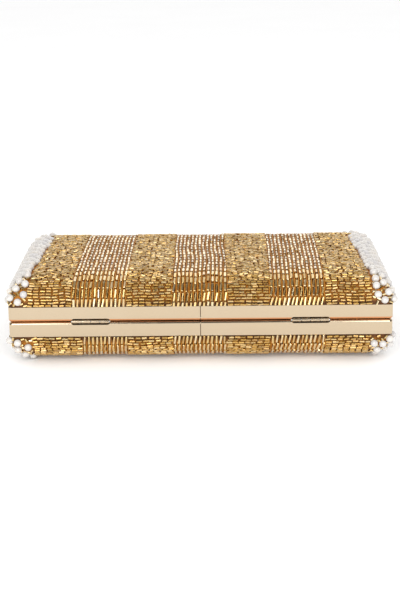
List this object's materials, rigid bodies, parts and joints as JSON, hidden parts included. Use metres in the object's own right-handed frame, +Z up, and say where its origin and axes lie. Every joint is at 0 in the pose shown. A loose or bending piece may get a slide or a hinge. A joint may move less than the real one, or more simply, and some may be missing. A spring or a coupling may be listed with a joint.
{
  "type": "evening bag",
  "caption": "Hard box clutch in two beaded halves with a channelled metal frame, two small hinges and a push-button clasp, lying on its back.",
  "frame": {"origin": "middle of the flat face that the bag lies on", "axes": "+X along the width, -Y towards the hinges, +Y towards the clasp, +Z up from the back half to the front half"},
  "size_m": [0.2046, 0.1118, 0.047],
  "materials": {
    "frame_metal": "polished pale rose-gold plate",
    "steel": "plain steel",
    "gold_beads": "gold-lined and metal-coated glass bugles and beads, close sewn",
    "pearls": "pearl lacquer, soft gloss",
    "gold_cloth": "gold-brown plain weave",
    "satin_lining": "champagne satin",
    "shell_board": "moulded shell, plain",
    "wadding": "polyester wadding"
  },
  "bodies": {
    "back": {"back_frame": "frame_metal", "back_joint_plate": "frame_metal", "back_shell": "shell_board", "back_padding": "wadding", "back_cloth": "gold_cloth", "back_bugle_stripes": "gold_beads", "back_bead_bands": "gold_beads", "back_pearl_ends": "pearls", "back_lining": "satin_lining", "back_pocket": "satin_lining", "hinge_left_back_leaf": "frame_metal", "hinge_right_back_leaf": "frame_metal", "hinge_left_pin": "steel", "hinge_right_pin": "steel", "hinge_back_rivets": "steel", "clasp_bezel": "frame_metal", "clasp_spring": "steel", "clasp_guide": "frame_metal", "clasp_guide_rivets": "steel"},
    "front": {"front_frame": "frame_metal", "front_joint_plate": "frame_metal", "front_shell": "shell_board", "front_padding": "wadding", "front_cloth": "gold_cloth", "front_bugle_stripes": "gold_beads", "front_bead_bands": "gold_beads", "front_pearl_ends": "pearls", "front_lining": "satin_lining", "hinge_left_front_leaf": "frame_metal", "hinge_right_front_leaf": "frame_metal", "hinge_front_rivets": "steel", "clasp_striker": "frame_metal", "clasp_striker_rivets": "steel"},
    "button": {"clasp_button": "frame_metal", "clasp_bolt": "steel", "clasp_clip": "steel"}
  },
  "joints": [
    {"name": "front_open", "type": "hinge", "parent": "back", "child": "front", "pos_m": [0, -0.05325, 0.0235], "axis": [1, 0, 0], "range_deg": [0, 95]},
    {"name": "button_press", "type": "slide", "parent": "back", "child": "button", "axis": [0, -1, 0], "range_m": [0, 0.0012], "stiffness_N_per_m": 400, "springref_m": -0.003, "deforming": ["clasp_spring"]}
  ]
}
